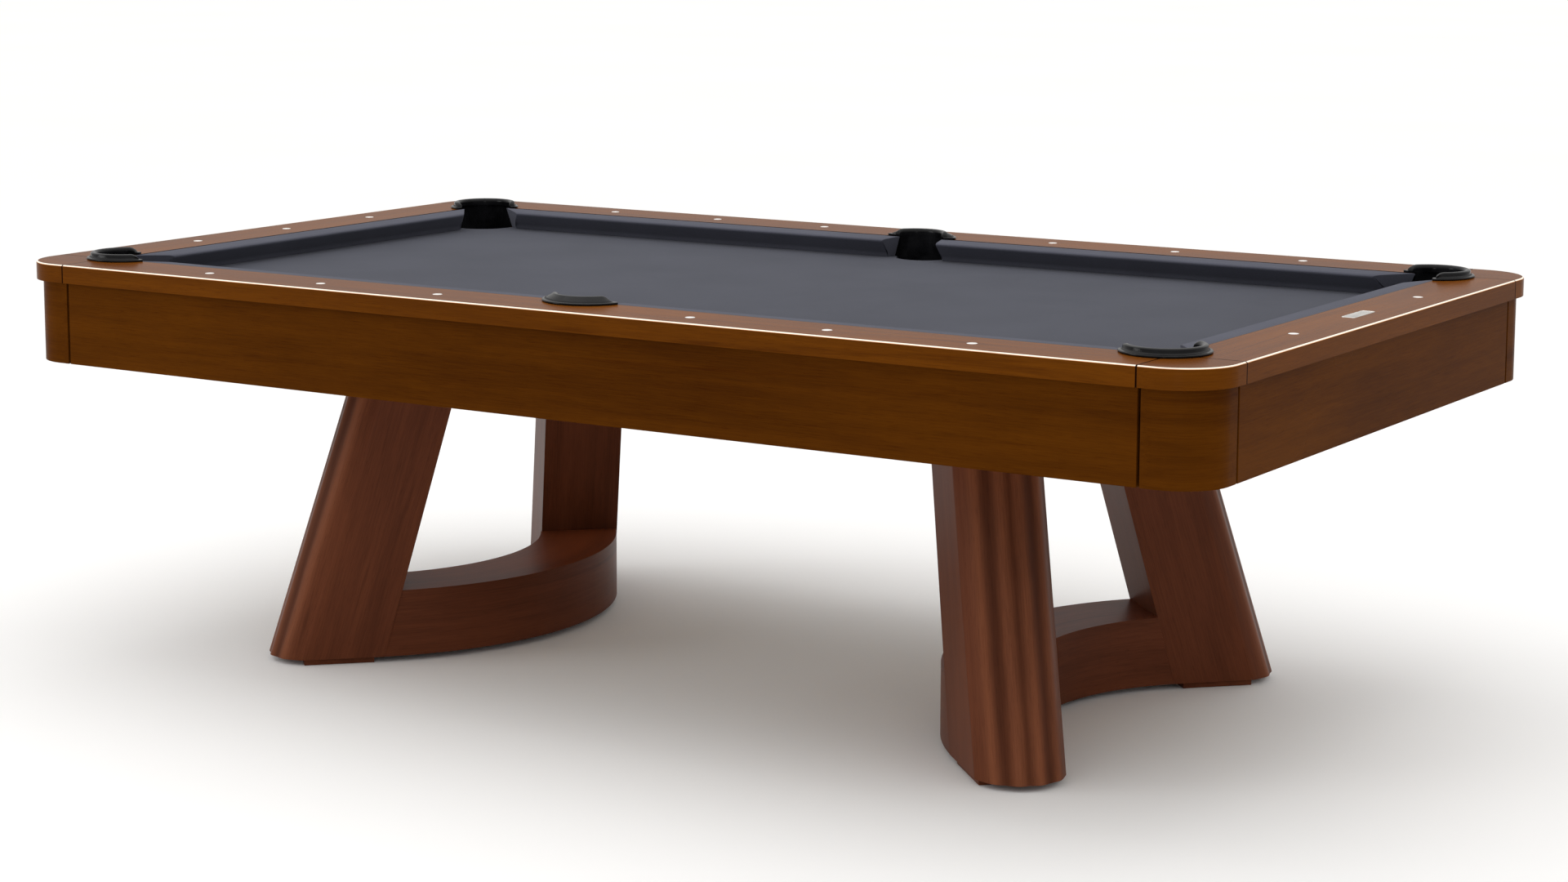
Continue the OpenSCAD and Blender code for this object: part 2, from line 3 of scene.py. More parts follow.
import bpy
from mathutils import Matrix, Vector


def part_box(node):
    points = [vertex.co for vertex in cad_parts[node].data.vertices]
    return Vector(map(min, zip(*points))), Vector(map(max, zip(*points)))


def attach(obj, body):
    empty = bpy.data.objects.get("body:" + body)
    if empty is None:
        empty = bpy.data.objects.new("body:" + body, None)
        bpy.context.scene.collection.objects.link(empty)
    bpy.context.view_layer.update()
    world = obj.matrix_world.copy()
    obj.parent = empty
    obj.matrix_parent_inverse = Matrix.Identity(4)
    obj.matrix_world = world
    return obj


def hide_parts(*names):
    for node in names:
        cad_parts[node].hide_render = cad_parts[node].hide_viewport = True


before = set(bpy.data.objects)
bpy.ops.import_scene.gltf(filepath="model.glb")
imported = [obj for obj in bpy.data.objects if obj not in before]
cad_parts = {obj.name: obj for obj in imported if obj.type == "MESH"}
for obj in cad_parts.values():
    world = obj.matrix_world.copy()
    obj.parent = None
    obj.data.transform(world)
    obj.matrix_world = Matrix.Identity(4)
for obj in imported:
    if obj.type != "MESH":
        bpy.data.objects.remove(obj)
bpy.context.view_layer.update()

# Looks of an eight-foot pool table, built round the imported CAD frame.
# Metres, +Z up, X along the table.

MM = 0.001
QUARTERS = {
    "front_left": (-1, -1), "front_right": (1, -1),
    "back_left": (-1, 1), "back_right": (1, 1),
}


def low(node):
    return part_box(node)[0]


def high(node):
    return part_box(node)[1]


# ---- places and sizes ----

# Edges come from the frame's boxes. The other figures are the ones the CAD was built with.
RAIL_TOP = high("rail_back").z
BED = high("bed_cloth").z
SLATE_X, SLATE_Y = high("bed_cloth").x, high("bed_cloth").y
SLATE_BOTTOM = low("slate_centre").z
NOSE_X, NOSE_Y = low("cushion_cloth_right").x, low("cushion_cloth_back_left").y
WOOD_X, WOOD_Y = high("cushion_cloth_right").x, high("cushion_cloth_back_left").y
OUT_X, OUT_Y = high("rail_right").x, high("rail_back").y
CORNER_R = 102 * MM
BLOCK_C = Vector((OUT_X - CORNER_R, OUT_Y - CORNER_R, 0))

# pockets
CORNER_C = Vector((NOSE_X + 32.4 * MM, NOSE_Y + 32.2 * MM, 0))
SIDE_C = Vector((0, NOSE_Y + 29.2 * MM, 0))
CORNER_POCKET_R = 57 * MM
SIDE_POCKET_R = 54 * MM
CORNER_RIM_W = 20 * MM
CORNER_RIM_SET = 8 * MM
CORNER_RIM_ARC = 232
CORNER_LINER_ARC = 224
SIDE_RIM_W = 31 * MM
SIDE_RIM_ARC = 152
SIDE_LINER_ARC = 134
CORNER_NOTCH_R = 69 * MM
SIDE_NOTCH_R = 60 * MM
SIDE_NOTCH_C = Vector((0, NOSE_Y + 65.2 * MM, 0))

# cushions
CUSHION_W = WOOD_Y - NOSE_Y
NOSE_H = 36 * MM
CORNER_MOUTH = 120 * MM
CORNER_TIP_X = NOSE_X - CORNER_MOUTH / math.sqrt(2)
CORNER_TIP_Y = NOSE_Y - CORNER_MOUTH / math.sqrt(2)
SIDE_TIP = 65 * MM
CORNER_CUT = math.radians(38)
SIDE_CUT = math.radians(76)
FACE_LEAN = math.radians(12)

# base
LEG_C = Vector((869.4 * MM, 500.6 * MM, 0))
LEG_LEAN = math.radians(16.6)
FLUTE_W = 41.5 * MM
RING_C = Vector((1062.6 * MM, 0, 0))
RING_R = 490.6 * MM


# ---- shader building ----


class Shader:
    """A node material with one Principled shader."""

    def __init__(self, name, **values):
        self.material = bpy.data.materials.new(name)
        self.material.use_nodes = True
        self.tree = self.material.node_tree
        self.tree.nodes.clear()
        self.bsdf = self.add("BsdfPrincipled")
        out = self.add("OutputMaterial")
        self.tree.links.new(self.bsdf.outputs[0], out.inputs["Surface"])
        for socket, value in values.items():
            self.bsdf.inputs[socket.replace("_", " ")].default_value = value

    def add(self, kind, **settings):
        node = self.tree.nodes.new("ShaderNode" + kind)
        for key, value in settings.items():
            setattr(node, key, value)
        return node

    def feed(self, socket, value):
        if isinstance(value, bpy.types.NodeSocket):
            self.tree.links.new(value, socket)
        else:
            socket.default_value = value

    def math(self, operation, a, b=0.0, clamp=False):
        node = self.add("Math", operation=operation, use_clamp=clamp)
        self.feed(node.inputs[0], a)
        self.feed(node.inputs[1], b)
        return node.outputs[0]

    def vector(self, operation, a, b):
        node = self.add("VectorMath", operation=operation)
        self.feed(node.inputs[0], a)
        self.feed(node.inputs[1], b)
        return node.outputs["Value" if operation in ("DOT_PRODUCT", "LENGTH") else "Vector"]

    def combine(self, x, y, z):
        node = self.add("CombineXYZ")
        for socket, value in zip(node.inputs, (x, y, z)):
            self.feed(socket, value)
        return node.outputs[0]

    def split(self, vector):
        node = self.add("SeparateXYZ")
        self.feed(node.inputs[0], vector)
        return node.outputs

    def place(self):
        return self.add("TexCoord").outputs["Object"]

    def normal(self):
        return self.add("NewGeometry").outputs["Normal"]

    def noise(self, vector, scale, detail=2.0, roughness=0.5, distortion=0.0):
        """Noise from 0 to 1. Scale is how many features a metre holds along each axis."""
        node = self.add("TexNoise")
        self.feed(node.inputs["Vector"], self.vector("MULTIPLY", vector, scale))
        node.inputs["Scale"].default_value = 1.0
        node.inputs["Detail"].default_value = detail
        node.inputs["Roughness"].default_value = roughness
        node.inputs["Distortion"].default_value = distortion
        return node.outputs[0]

    def step(self, value, start, end, low=0.0, high=1.0):
        """Low at start, high at end, and a smooth change between them. Start may be above end."""
        node = self.add("MapRange", interpolation_type="SMOOTHSTEP")
        for socket, v in zip(node.inputs, (value, start, end, low, high)):
            self.feed(socket, v)
        return node.outputs[0]

    def mix(self, factor, a, b, blend="MIX"):
        node = self.add("Mix", data_type="RGBA", blend_type=blend)
        self.feed(node.inputs["Factor"], factor)
        self.feed(node.inputs[6], a)
        self.feed(node.inputs[7], b)
        return node.outputs[2]

    def mix_vector(self, factor, a, b):
        node = self.add("Mix", data_type="VECTOR")
        self.feed(node.inputs["Factor"], factor)
        self.feed(node.inputs[4], a)
        self.feed(node.inputs[5], b)
        return node.outputs[1]

    def bump(self, height, distance, strength=1.0):
        node = self.add("Bump")
        node.inputs["Strength"].default_value = strength
        node.inputs["Distance"].default_value = distance
        self.feed(node.inputs["Height"], height)
        self.feed(self.bsdf.inputs["Normal"], node.outputs[0])

    def colour(self, value):
        self.feed(self.bsdf.inputs["Base Color"], value)

    def roughness(self, value):
        self.feed(self.bsdf.inputs["Roughness"], value)


def rgb(r, g, b):
    """A colour given as it shows on screen, 0 to 255, as linear light."""
    def line(c):
        c /= 255
        return c / 12.92 if c <= 0.04045 else ((c + 0.055) / 1.055) ** 2.4
    return (line(r), line(g), line(b), 1.0)


# ---- grain directions ----


def straight_grain(along, up=(0, 0, 1)):
    """Coordinates with X along the grain."""
    a = Vector(along).normalized()
    c = (Vector(up) - a * a.dot(Vector(up))).normalized()
    b = c.cross(a)

    def coords(s):
        p = s.place()
        return s.combine(*[s.vector("DOT_PRODUCT", p, tuple(v)) for v in (a, b, c)])
    return coords


def bent_grain(centre, radius):
    """Coordinates with X round an upright axis, for bent pieces."""
    def coords(s):
        x, y, z = s.split(s.vector("SUBTRACT", s.place(), tuple(centre)))
        round_it = s.math("MULTIPLY", s.math("ARCTAN2", y, x), radius)
        out = s.math("SQRT", s.math("ADD", s.math("MULTIPLY", x, x), s.math("MULTIPLY", y, y)))
        return s.combine(round_it, out, z)
    return coords


def block_grain(centre, radius):
    """Straight grain on the top of a corner block and bent grain round its side."""
    def coords(s):
        up = s.split(s.normal())[2]
        flat = s.step(up, 0.75, 0.85)
        return s.mix_vector(flat, bent_grain(centre, radius)(s), straight_grain((1, 0, 0))(s))
    return coords


# ---- materials ----

RAIL_LOOK = {
    "light": rgb(101, 55, 7), "dark": rgb(80, 41, 5), "streak": rgb(52, 19, 2),
    "ior": 1.07, "rough": 0.22,
}
APRON_LOOK = {
    "light": rgb(86, 46, 6), "dark": rgb(62, 30, 4), "streak": rgb(46, 10, 1),
    "ior": 1.045, "rough": 0.26,
}
LEG_LOOK = {
    "light": rgb(104, 57, 36), "dark": rgb(80, 42, 26), "streak": rgb(50, 23, 13),
    "ior": 1.13, "rough": 0.38,
}
PINE_LOOK = {
    "light": rgb(222, 190, 142), "dark": rgb(190, 150, 100), "streak": rgb(130, 90, 50),
    "ior": 1.30, "rough": 0.70,
}


def wood(name, coords, look, seed, light_and_finish=None):
    """Stained and lacquered wood with blotches, growth lines, fibres, pores and mineral streaks."""
    s = Shader(name, IOR=look["ior"])
    p = s.vector("ADD", coords(s), (seed * 3.7, seed * 1.3, seed * 2.1))
    blotch = s.noise(p, (1.6, 7, 7), 3, 0.55)
    lines = s.noise(p, (1.1, 42, 42), 4, 0.6, 0.4)
    fibres = s.noise(p, (13, 420, 420), 3, 0.6)
    pores = s.step(s.noise(p, (38, 1000, 1000), 1), 0.60, 0.72)
    minerals = s.step(s.noise(p, (1.3, 26, 26), 4, 0.62, 0.6), 0.61, 0.74)
    tone = s.math("ADD", s.math("MULTIPLY", blotch, 0.9), s.math("MULTIPLY", lines, 0.5))
    tone = s.math("ADD", tone, s.math("MULTIPLY", fibres, 0.5))
    colour = s.mix(s.step(tone, 0.62, 1.28), look["dark"], look["light"])
    colour = s.mix(s.math("MULTIPLY", minerals, 0.45), colour, look["streak"])
    colour = s.mix(s.math("MULTIPLY", pores, 0.30), colour, look["streak"])
    rough = s.math("ADD", look["rough"] - 0.05, s.math("MULTIPLY", blotch, 0.10))
    # the extra step lays painted light, and other colour, over the grain
    if light_and_finish:
        colour, rough = light_and_finish(s, colour, rough)
    s.colour(colour)
    s.roughness(rough)
    s.bump(s.math("SUBTRACT", fibres, s.math("MULTIPLY", pores, 0.8)), 0.05 * MM, 0.5)
    return s.material


CORNER_PAINT_R = 73 * MM
SIDE_PAINT_R = 69 * MM
POCKET_PAINT = (0.004, 0.004, 0.004, 1)


def in_pocket(s):
    """One on the wood under the pocket rims, which is painted black."""
    x, y, z = s.split(s.place())
    point = s.combine(s.math("ABSOLUTE", x), s.math("ABSOLUTE", y), 0.0)
    corner = s.vector("LENGTH", s.vector("SUBTRACT", point, tuple(CORNER_C)), (0, 0, 0))
    side = s.vector("LENGTH", s.vector("SUBTRACT", point, tuple(SIDE_C)), (0, 0, 0))
    near = s.math("MAXIMUM", s.step(corner, CORNER_PAINT_R, CORNER_PAINT_R - 1 * MM),
                  s.step(side, SIDE_PAINT_R, SIDE_PAINT_R - 1 * MM))
    return s.math("MULTIPLY", near, s.step(z, RAIL_TOP - 0.4 * MM, RAIL_TOP - 0.8 * MM))


# warm and white of the painted highlight along the rails' rounded outer edge
EDGE_HIGHLIGHT_WARM, EDGE_HIGHLIGHT_PALE = rgb(226, 150, 84), rgb(255, 246, 232)
# colour factor of the painted reflection on the rails' upward faces
RAIL_TOP_REFLECTION = (1.42, 1.48, 2.6, 1)
# colour of the painted shade in the seams
SEAM_SHADE = rgb(34, 14, 4)


def highlight_shade_and_pocket_paint(s, colour, rough):
    """Rail colour: a painted highlight along the rounded outer edge, a painted reflection lightening the
    upward faces, painted shade in the seams, and black paint under the rims.
    """
    x, y, z = s.split(s.place())
    up = s.split(s.normal())[2]
    # painted highlight: a patchy band on the rounded outer edge, warm lower down and white higher up
    highlight_band = s.math("MULTIPLY", s.step(up, 0.36, 0.50), s.step(up, 0.998, 0.975))
    highlight_band = s.math("MULTIPLY", highlight_band, s.step(z, RAIL_TOP - 4.2 * MM, RAIL_TOP - 3.2 * MM))
    patchy = s.noise(s.place(), (16, 16, 16), 3)
    highlight_band = s.math("MULTIPLY", highlight_band, s.step(patchy, 0.2, 0.5, 0.75, 1.0))
    pale = s.mix(s.step(up, 0.45, 0.70), EDGE_HIGHLIGHT_WARM, EDGE_HIGHLIGHT_PALE)
    # painted reflection: the upward faces of the rails and corner blocks are lightened
    top = s.step(up, 0.93, 0.99)
    colour = s.mix(top, colour, s.mix(1.0, colour, RAIL_TOP_REFLECTION, "MULTIPLY"))
    colour = s.mix(highlight_band, colour, pale)
    # painted shade in the seams between rails and corner blocks, and along the rails' edge by the cushions
    gap_x = s.math("ABSOLUTE", s.math("SUBTRACT", s.math("ABSOLUTE", x), WOOD_X))
    gap_y = s.math("ABSOLUTE", s.math("SUBTRACT", s.math("ABSOLUTE", y), WOOD_Y))
    seam_shade = s.step(s.math("MINIMUM", gap_x, gap_y), 2.2 * MM, 1.3 * MM, 0.0, 0.95)
    colour = s.mix(seam_shade, colour, SEAM_SHADE)
    colour = s.mix(in_pocket(s), colour, POCKET_PAINT)
    return colour, s.math("SUBTRACT", rough, s.math("MULTIPLY", highlight_band, 0.1))


def across_leg(s):
    """How far a point lies from the middle of the nearest leg's fluted front, across the leg."""
    x, y, z = s.split(s.place())
    out_x = s.math("SUBTRACT", s.math("ABSOLUTE", x), LEG_C.x)
    out_y = s.math("SUBTRACT", s.math("ABSOLUTE", y), LEG_C.y)
    return s.math("ABSOLUTE", s.math("MULTIPLY", s.math("SUBTRACT", out_y, out_x), math.sqrt(0.5)))


# painted shade for the flutes' valleys and painted highlight for their ridges
VALLEY_SHADE, RIDGE_HIGHLIGHT = (0.66, 0.66, 0.66, 1), (1.45, 1.62, 1.7, 1)


def flute_light_and_shade(sx, sy):
    """Painted shade in the valleys of a leg's fluted front and a painted highlight on its ridges."""
    def light_and_finish(s, colour, rough):
        turn = s.math("MULTIPLY", s.math("DIVIDE", across_leg(s), FLUTE_W), 2 * math.pi)
        wander = s.math("MULTIPLY", s.noise(s.place(), (30, 30, 3), 2), 0.8)
        wave = s.math("COSINE", s.math("ADD", turn, wander))
        ridge = s.math("SUBTRACT", 0.5, s.math("MULTIPLY", wave, 0.5))
        outward = Vector((sx, sy, 0)).normalized()
        front = s.step(s.vector("DOT_PRODUCT", s.normal(), tuple(outward)), 0.35, 0.7)
        flute_light = s.mix(ridge, VALLEY_SHADE, RIDGE_HIGHLIGHT)
        return s.mix(front, colour, s.mix(1.0, colour, flute_light, "MULTIPLY")), rough
    return light_and_finish


STRETCHER_TOP_TINT = (1.7, 1.55, 1.4, 1)


def lighter_top(s, colour, rough):
    """The stretcher's upward faces are coloured lighter."""
    top = s.step(s.split(s.normal())[2], 0.8, 0.95)
    return s.mix(top, colour, s.mix(1.0, colour, STRETCHER_TOP_TINT, "MULTIPLY")), rough


THREAD_GAP = (0.02, 0.02, 0.03, 1)


def felt(name, base):
    """Worsted billiard cloth: fine twill, a little nap and a faint mottle."""
    s = Shader(name, IOR=1.15, Sheen_Weight=0.12, Sheen_Roughness=0.45,
               Sheen_Tint=(0.75, 0.78, 0.9, 1))
    p = s.place()
    mottle = s.noise(p, (5, 5, 5), 4, 0.6)
    nap = s.noise(p, (160, 420, 420), 3, 0.6)
    x, y, z = s.split(p)
    along = s.math("MULTIPLY", s.math("ADD", x, z), 5200)
    diagonal = s.math("ADD", along, s.math("MULTIPLY", y, 9000))
    weave = s.math("MULTIPLY", s.math("ADD", s.math("SINE", diagonal), 1), 0.5)
    tone = s.math("ADD", s.math("MULTIPLY", mottle, 0.55), s.math("MULTIPLY", nap, 0.45))
    shade = s.step(tone, 0.3, 0.7)
    dark = tuple(0.88 * c for c in base[:3]) + (1,)
    light = tuple(1.10 * c for c in base[:3]) + (1,)
    s.colour(s.mix(s.math("MULTIPLY", weave, 0.06), s.mix(shade, dark, light), THREAD_GAP))
    s.roughness(s.math("ADD", 0.86, s.math("MULTIPLY", nap, 0.1)))
    s.bump(s.math("ADD", nap, s.math("MULTIPLY", weave, 0.5)), 0.10 * MM, 0.5)
    return s.material


def moulded_black(name):
    """Glossy black moulded pocket rubber with a fine pebble grain and faint wear."""
    s = Shader(name, IOR=1.24)
    p = s.place()
    pebble = s.add("TexVoronoi", feature="SMOOTH_F1")
    s.feed(pebble.inputs["Vector"], p)
    pebble.inputs["Scale"].default_value = 620
    wear = s.noise(p, (30, 30, 30), 4, 0.6)
    s.colour(s.mix(s.step(wear, 0.35, 0.75), (0.003, 0.003, 0.0035, 1), (0.008, 0.008, 0.009, 1)))
    s.roughness(s.math("ADD", 0.06, s.math("MULTIPLY", wear, 0.16)))
    s.bump(pebble.outputs["Distance"], 0.12 * MM, 0.15)
    return s.material


def pearl(name):
    """Mother of pearl: clouded layers of white, rose and pale green under a polish."""
    s = Shader(name, Roughness=0.22, Coat_Weight=0.6, Coat_Roughness=0.05)
    p = s.place()
    layer = s.noise(p, (120, 260, 120), 3, 0.55, 1.6)
    cloud = s.noise(p, (60, 60, 60), 2, 0.5, 0.8)
    colour = s.mix(s.step(layer, 0.35, 0.65), rgb(246, 243, 238), rgb(255, 254, 252))
    colour = s.mix(s.step(cloud, 0.5, 0.75, 0, 0.5), colour, rgb(226, 236, 230))
    s.colour(s.mix(s.step(cloud, 0.45, 0.25, 0, 0.4), colour, rgb(244, 226, 226)))
    s.bump(layer, 0.05 * MM, 0.3)
    return s.material


def brushed_metal(name, colour, along, rough):
    """Metal brushed in one direction, with fine lines and a cloudy polish."""
    s = Shader(name, Metallic=1.0, Anisotropic=0.5)
    p = straight_grain(along)(s)
    lines = s.noise(p, (40, 3800, 3800), 3, 0.6)
    cloud = s.noise(p, (25, 25, 25), 3)
    dark = tuple(0.86 * c for c in colour[:3]) + (1,)
    s.colour(s.mix(s.step(lines, 0.3, 0.7), dark, colour))
    s.roughness(s.math("ADD", rough - 0.06, s.math("MULTIPLY", cloud, 0.14)))
    s.bump(lines, 0.02 * MM, 0.5)
    return s.material


def zinc_steel(name):
    """Zinc plate: a dull bluish grey spangle with yellowish patches."""
    s = Shader(name, Metallic=1.0)
    p = s.place()
    spangle = s.noise(p, (240, 240, 240), 2, 0.5, 0.6)
    patches = s.noise(p, (35, 35, 35), 3)
    colour = s.mix(s.step(spangle, 0.35, 0.65), (0.38, 0.40, 0.43, 1), (0.58, 0.59, 0.60, 1))
    s.colour(s.mix(s.step(patches, 0.55, 0.75, 0, 0.35), colour, (0.52, 0.47, 0.34, 1)))
    s.roughness(s.math("ADD", 0.30, s.math("MULTIPLY", spangle, 0.18)))
    s.bump(spangle, 0.03 * MM, 0.4)
    return s.material


def honed_slate(name):
    """Grey slate with cleavage clouds and scattered pale flecks."""
    s = Shader(name, Specular_IOR_Level=0.3)
    p = s.place()
    clouds = s.noise(p, (3, 5, 40), 5, 0.6, 0.5)
    grit = s.noise(p, (900, 900, 900), 2)
    flecks = s.step(s.noise(p, (220, 320, 320), 2), 0.70, 0.78)
    colour = s.mix(s.step(clouds, 0.3, 0.7), rgb(84, 88, 92), rgb(116, 119, 121))
    colour = s.mix(s.math("MULTIPLY", s.step(grit, 0.4, 0.8), 0.3), colour, rgb(60, 63, 68))
    s.colour(s.mix(s.math("MULTIPLY", flecks, 0.5), colour, rgb(168, 170, 168)))
    s.roughness(s.math("ADD", 0.55, s.math("MULTIPLY", grit, 0.15)))
    s.bump(s.math("ADD", grit, clouds), 0.15 * MM, 0.5)
    return s.material


def gum_rubber(name):
    """Dull black rubber with a dusting of talc."""
    s = Shader(name, Specular_IOR_Level=0.3)
    p = s.place()
    dust = s.noise(p, (90, 90, 90), 4, 0.6)
    grain = s.noise(p, (1400, 1400, 1400), 2)
    s.colour(s.mix(s.step(dust, 0.4, 0.8), (0.014, 0.014, 0.014, 1), (0.034, 0.032, 0.030, 1)))
    s.roughness(s.math("ADD", 0.62, s.math("MULTIPLY", dust, 0.2)))
    s.bump(grain, 0.08 * MM, 0.4)
    return s.material


def pale_floor(name):
    """Plain matt white, with a faint cloud so that it is not one flat value."""
    s = Shader(name, Specular_IOR_Level=0.1, Roughness=0.9)
    cloud = s.noise(s.place(), (0.6, 0.6, 0.6), 3)
    s.colour(s.mix(cloud, (0.90, 0.90, 0.90, 1), (0.94, 0.94, 0.94, 1)))
    return s.material


# ---- softening of the CAD nodes ----

WELD_REACH = 0.005 * MM
FLAT_WITHIN = math.radians(0.3)
CRISP_ABOVE = math.radians(30)


def shading_group(angle):
    """Drops the stored normals, shades every face smooth and keeps edges sharper than angle crisp."""
    group = bpy.data.node_groups.new("smooth_by_angle", "GeometryNodeTree")
    group.interface.new_socket("Geometry", in_out="INPUT", socket_type="NodeSocketGeometry")
    group.interface.new_socket("Geometry", in_out="OUTPUT", socket_type="NodeSocketGeometry")
    add, link = group.nodes.new, group.links.new
    start, end = add("NodeGroupInput"), add("NodeGroupOutput")
    bare = add("GeometryNodeRemoveAttribute")
    bare.inputs["Name"].default_value = "custom_normal"
    faces = add("GeometryNodeSetShadeSmooth")
    faces.domain = "FACE"
    edges = add("GeometryNodeSetShadeSmooth")
    edges.domain = "EDGE"
    turn = add("GeometryNodeInputMeshEdgeAngle")
    sharp = add("FunctionNodeCompare")
    sharp.data_type = "FLOAT"
    sharp.operation = "GREATER_THAN"
    sharp.inputs[1].default_value = angle
    link(start.outputs[0], bare.inputs["Geometry"])
    link(bare.outputs["Geometry"], faces.inputs["Geometry"])
    link(faces.outputs["Geometry"], edges.inputs["Geometry"])
    link(turn.outputs["Unsigned Angle"], sharp.inputs[0])
    link(sharp.outputs[0], edges.inputs["Selection"])
    edges.inputs["Shade Smooth"].default_value = False
    link(edges.outputs["Geometry"], end.inputs[0])
    return group


SMOOTH = shading_group(CRISP_ABOVE)


def soften(node, width, segments=2, limit=40):
    """Rounds a CAD node's edges by width, with modifiers, and shades it smooth.
    Edges that turn by less than limit, in degrees, are not rounded."""
    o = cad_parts[node]
    weld = o.modifiers.new("weld", "WELD")
    weld.merge_threshold = WELD_REACH
    flat = o.modifiers.new("flat", "DECIMATE")
    flat.decimate_type = "DISSOLVE"
    flat.angle_limit = FLAT_WITHIN
    if width:
        bevel = o.modifiers.new("bevel", "BEVEL")
        bevel.limit_method = "ANGLE"
        bevel.angle_limit = math.radians(limit)
        bevel.width = width
        bevel.segments = segments
        bevel.use_clamp_overlap = True
    shade = o.modifiers.new("shade", "NODES")
    shade.node_group = SMOOTH
    even = o.modifiers.new("even", "WEIGHTED_NORMAL")
    even.keep_sharp = True
    even.weight = 80


def paint(node, material):
    """Gives a CAD node one material."""
    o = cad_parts[node]
    o.data.materials.clear()
    o.data.materials.append(material)


# ---- mesh building ----


def make(name, verts, faces, material, smooth=True, sharp_angle=None):
    """A mesh object of one material, with edges sharper than sharp_angle (degrees) kept crisp."""
    mesh = bpy.data.meshes.new(name)
    mesh.from_pydata([tuple(v) for v in verts], [], faces)
    mesh.validate()
    mesh.materials.append(material)
    for face in mesh.polygons:
        face.use_smooth = smooth
    if sharp_angle is not None:
        mesh.set_sharp_from_angle(angle=math.radians(sharp_angle))
    o = bpy.data.objects.new(name, mesh)
    bpy.context.scene.collection.objects.link(o)
    return o


def arc(cx, cy, r, a0, a1, n):
    """Points round (cx, cy) from angle a0 to a1, in degrees."""
    steps = [math.radians(a0 + (a1 - a0) * i / n) for i in range(n + 1)]
    return [(cx + r * math.cos(a), cy + r * math.sin(a)) for a in steps]


def rounded(points, radii, n=4):
    """An open outline with each inner corner replaced by a curve that starts its radius away."""
    out = [points[0]]
    for i in range(1, len(points) - 1):
        p, a, b = (Vector(points[j]) for j in (i, i - 1, i + 1))
        r = radii[i - 1]
        start, end = p + (a - p).normalized() * r, p + (b - p).normalized() * r
        for k in range(n + 1):
            t = k / n
            out.append(tuple(start * (1 - t) ** 2 + p * 2 * t * (1 - t) + end * t * t))
    out.append(points[-1])
    return out


def grid_faces(rows, cols, closed=False):
    """Quads between rows of cols points. A closed grid joins each row's last point to its first."""
    faces = []
    for i in range(rows - 1):
        a, b = i * cols, (i + 1) * cols
        for j in range(cols if closed else cols - 1):
            k = (j + 1) % cols
            faces.append((a + j, b + j, b + k, a + k))
    return faces


def end_faces(rows, cols):
    """One face over each end of a closed grid."""
    return [tuple(reversed(range(cols))), tuple((rows - 1) * cols + j for j in range(cols))]


def quarter_turn(r):
    """Insets and drops down a rounded edge, from the level top to the upright side."""
    turns = [math.radians(90 * k / 5) for k in range(6)]
    return [(r * (1 - math.sin(a)), r * (1 - math.cos(a))) for a in turns]


def stand_in(o, node):
    """Puts a built piece on the table's body, in place of a CAD node."""
    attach(o, "table")
    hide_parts(node)


# ---- cushions ----

# The cloth's outline over a cushion, in millimetres out from the wood and up from the bed.
# It starts at the rail, runs over the nose, and comes back under it along the bed.
CUSHION_OUTLINE = [
    (0.2, 40.2), (0.3, 42.3), (12, 42.1), (44.9, 39.9), (50.2, 37.6),
    (50.2, 34.2), (27.2, 8.9), (24.9, 0.15), (3, 0.15),
]
CUSHION_ROUND = [1.4, 4, 3.5, 1.7, 1.7, 5, 0.8]
FACING_ROUND = 1.3 * MM
CUSHION_SPANS = 24
HELD_STRIP = 4 * MM


def cushion_profile():
    """The cloth's outline with rounded corners, in metres."""
    pts = rounded(CUSHION_OUTLINE, CUSHION_ROUND, 5)
    return [(d * MM, z * MM) for d, z in pts]


def outward(profile):
    """The direction out of the cloth at each profile point."""
    out = []
    for i in range(len(profile)):
        a = Vector(profile[max(i - 1, 0)])
        b = Vector(profile[min(i + 1, len(profile) - 1)])
        t = (b - a).normalized()
        out.append(Vector((-t.y, t.x)))
    return out


def cushion(name, place, tips, cuts, node):
    """Cloth over one cushion. Place turns (along, from the wood, above the bed) into a point.
    Tips are where its nose ends, and cuts are the angles of its two facings."""
    profile = cushion_profile()
    normals = outward(profile)

    def reach(d, z, cut):
        """How far the cloth runs on beyond the tip of the nose."""
        return (CUSHION_W - d) / math.tan(cut) + (z - NOSE_H) * math.tan(FACE_LEAN) / math.sin(cut)

    round_end = quarter_turn(FACING_ROUND)
    rows = [(0.0, back, inset) for inset, back in round_end]
    rows += [(k / CUSHION_SPANS, 0.0, 0.0) for k in range(1, CUSHION_SPANS)]
    rows += [(1.0, back, inset) for inset, back in reversed(round_end)]
    verts = []
    for share, back, inset in rows:
        for (d, z), n in zip(profile, normals):
            dd, zz = d - n.x * inset, z - n.y * inset
            if d < HELD_STRIP:
                dd = d
            start = tips[0] - reach(dd, zz, cuts[0])
            end = tips[1] + reach(dd, zz, cuts[1])
            if share == 0.0:
                along = start + back
            elif share == 1.0:
                along = end - back
            else:
                along = (start + FACING_ROUND) * (1 - share) + (end - FACING_ROUND) * share
            verts.append(place(along, dd, zz))
    cols = len(profile)
    faces = grid_faces(len(rows), cols)
    faces.append(tuple(range(cols)))
    last = (len(rows) - 1) * cols
    faces.append(tuple(last + j for j in reversed(range(cols))))
    o = make(name, verts, faces, CLOTH["cushion"], sharp_angle=50)
    mesh = o.data
    middle = sum((v.co for v in mesh.vertices), Vector()) / len(mesh.vertices)
    on_top = (len(rows) // 2) * cols + cols // 3
    probe = next(f for f in mesh.polygons if on_top in f.vertices)
    if probe.normal.dot(Vector(probe.center) - middle) < 0:
        mesh.flip_normals()
    girth = sum((Vector(b) - Vector(a)).length for a, b in zip(profile, profile[1:]))
    stand_in(o, node)


